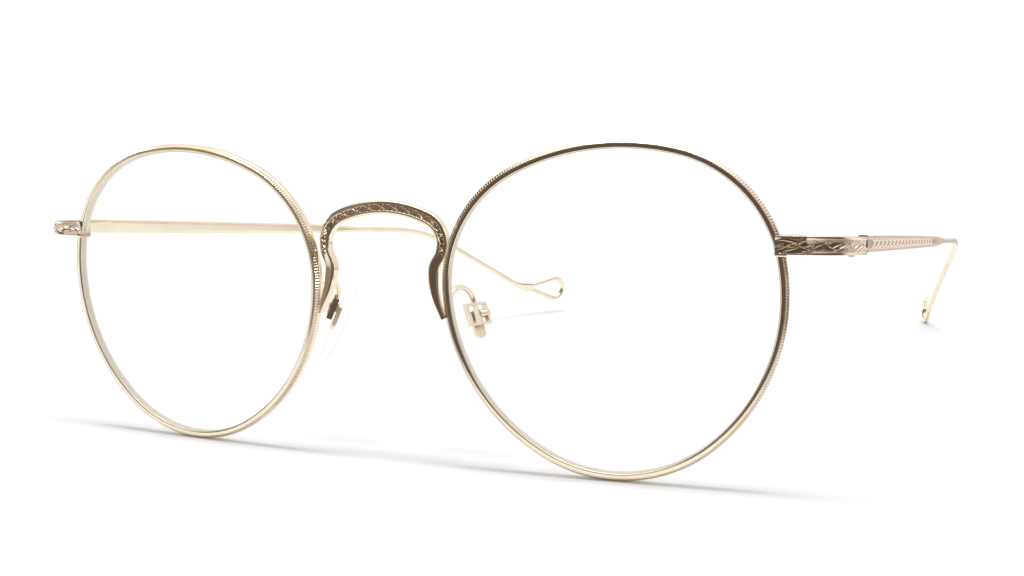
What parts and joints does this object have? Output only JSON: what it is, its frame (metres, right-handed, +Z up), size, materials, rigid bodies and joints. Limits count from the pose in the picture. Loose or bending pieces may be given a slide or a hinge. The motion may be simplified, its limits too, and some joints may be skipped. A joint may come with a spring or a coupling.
{
  "type": "eyeglasses",
  "caption": "Round wire-rim eyeglasses with a saddle bridge, clear lenses, rocking nose pads and folding tapered temples that end in open wire loops.",
  "frame": {"origin": "on the standing surface, midway between the lenses and level with the front of the rims", "axes": "+Z up, the front faces -Y, the wearer's left is +X"},
  "size_m": [0.1519, 0.1425, 0.0481],
  "materials": {
    "plated_metal": "polished pale gold plating",
    "screw_steel": "plain turned screws",
    "clear_lens": "clear polished lens",
    "clear_pad": "clear soft plastic"
  },
  "bodies": {
    "front": {"bridge": "plated_metal", "left_rim": "plated_metal", "right_rim": "plated_metal", "left_lens": "clear_lens", "right_lens": "clear_lens", "left_end_piece": "plated_metal", "right_end_piece": "plated_metal", "left_closing_block": "plated_metal", "right_closing_block": "plated_metal", "left_rim_screw": "screw_steel", "right_rim_screw": "screw_steel", "left_front_hinge": "plated_metal", "right_front_hinge": "plated_metal", "left_hinge_screw": "screw_steel", "right_hinge_screw": "screw_steel", "left_pad_arm": "plated_metal", "right_pad_arm": "plated_metal", "left_pad_box": "plated_metal", "right_pad_box": "plated_metal", "left_pad_screw": "screw_steel", "right_pad_screw": "screw_steel"},
    "left_temple_arm": {"left_temple": "plated_metal", "left_temple_hinge": "plated_metal", "left_temple_loop": "plated_metal"},
    "right_temple_arm": {"right_temple": "plated_metal", "right_temple_hinge": "plated_metal", "right_temple_loop": "plated_metal"},
    "left_pad": {"left_nose_pad": "clear_pad", "left_pad_core": "plated_metal"},
    "right_pad": {"right_nose_pad": "clear_pad", "right_pad_core": "plated_metal"}
  },
  "joints": [
    {"name": "left_temple_fold", "type": "hinge", "parent": "front", "child": "left_temple_arm", "pos_m": [0.0661, 0.01101, 0.03323], "axis": [0, 0.0067, 1], "range_deg": [0, 90]},
    {"name": "right_temple_fold", "type": "hinge", "parent": "front", "child": "right_temple_arm", "pos_m": [-0.0661, 0.01101, 0.03323], "axis": [0, -0.0067, -1], "range_deg": [-28.6, 65.4]},
    {"name": "left_pad_rock", "type": "hinge", "parent": "front", "child": "left_pad", "pos_m": [0.01256, 0.00669, 0.02189], "axis": [0.5, 0.866, -0.0058], "range_deg": [-6, 6]},
    {"name": "right_pad_rock", "type": "hinge", "parent": "front", "child": "right_pad", "pos_m": [-0.01256, 0.00669, 0.02189], "axis": [-0.5, 0.866, -0.0058], "range_deg": [-6, 6]}
  ]
}
